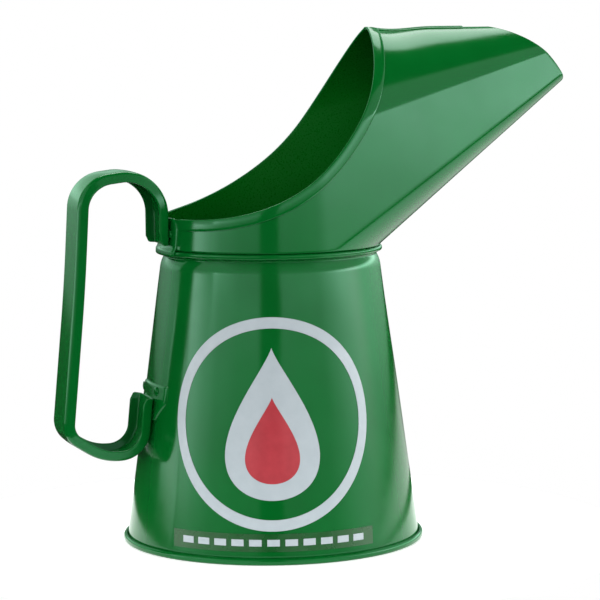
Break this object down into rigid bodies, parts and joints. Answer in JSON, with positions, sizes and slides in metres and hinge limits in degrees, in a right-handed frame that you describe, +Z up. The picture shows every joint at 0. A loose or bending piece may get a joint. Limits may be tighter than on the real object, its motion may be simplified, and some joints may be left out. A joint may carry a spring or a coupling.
{
  "type": "oil pouring jug",
  "caption": "Tapered sheet-metal jug with a hooded pouring spout open at the back and a fixed strap handle.",
  "frame": {"origin": "centre of the flat ring the jug stands on", "axes": "+Z up, +X the way the spout pours, handle at -X, Y across"},
  "size_m": [0.219, 0.125, 0.2112],
  "materials": {
    "green_enamel": "gloss green paint over tinplate",
    "seam_compound": "dull sealing compound",
    "pale_vinyl": "gloss pale vinyl",
    "red_print": "gloss red print",
    "dark_film": "gloss dark green vinyl"
  },
  "bodies": {
    "root": {"body_shell": "green_enamel", "base_pan": "green_enamel", "base_seam_compound": "seam_compound", "neck_seam_compound": "seam_compound", "spout_shell": "green_enamel", "handle_strap": "green_enamel", "handle_spot_welds": "green_enamel", "emblem_ring": "pale_vinyl", "emblem_drop": "pale_vinyl", "emblem_core": "red_print", "stripe_film": "dark_film", "stripe_print": "pale_vinyl"}
  },
  "joints": []
}
